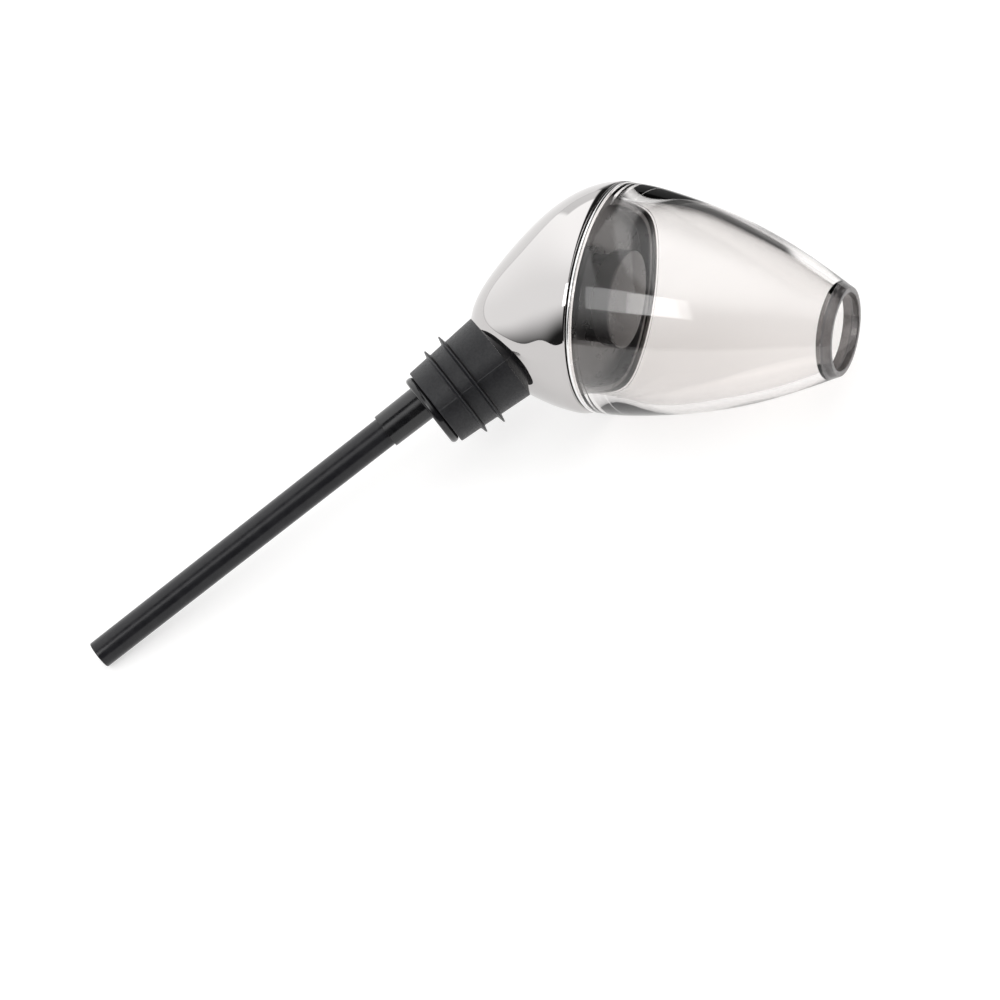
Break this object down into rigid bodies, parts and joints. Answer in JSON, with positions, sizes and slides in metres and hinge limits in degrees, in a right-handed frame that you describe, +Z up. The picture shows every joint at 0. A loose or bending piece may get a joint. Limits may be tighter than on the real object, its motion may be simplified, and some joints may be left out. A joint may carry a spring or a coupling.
{
  "type": "aerating wine pourer",
  "caption": "Bottle pourer: finned cone stopper with a long air tube, mirror-bright elbow and a clear tapered bell that pulls off and turns.",
  "frame": {"origin": "on the table under the middle of the pourer's box, as it lies at rest on its air tube's tip and the side of its head", "axes": "+Z up from the table, +X level and along the bell towards its mouth, so the stopper and air tube run back towards -X and +Y"},
  "size_m": [0.1376, 0.115, 0.0468],
  "materials": {
    "black_tube": "gloss",
    "black_core": "gloss",
    "silicone": "satin",
    "seal_rubber": "matte",
    "chrome_plate": "polished",
    "black_cup": "satin",
    "black_disc": "satin",
    "smoke_clear": "gloss",
    "dark_lip": "gloss"
  },
  "bodies": {
    "head": {"stopper_core": "black_core", "stopper_sleeve": "silicone", "core_seal": "seal_rubber", "air_pipe": "black_core", "chrome_shell": "chrome_plate", "chamber_base": "black_cup", "spreader_disc": "black_disc", "bell_seal": "seal_rubber"},
    "trim": {"trim_ring": "chrome_plate"},
    "bell": {"bell": "smoke_clear", "pour_lip": "dark_lip"},
    "tube": {"air_tube": "black_tube"}
  },
  "joints": [
    {"name": "bell_pull", "type": "slide", "parent": "head", "child": "trim", "axis": [0.9966, 0, -0.0829], "range_m": [0, 0.03]},
    {"name": "bell_turn", "type": "hinge", "parent": "trim", "child": "bell", "pos_m": [0.01872, 0.0341, 0.02354], "axis": [0.9966, 0, -0.0829], "continuous": true},
    {"name": "tube_pull", "type": "slide", "parent": "head", "child": "tube", "axis": [-0.6328, -0.753, -0.1805], "range_m": [0, 0.02]}
  ]
}
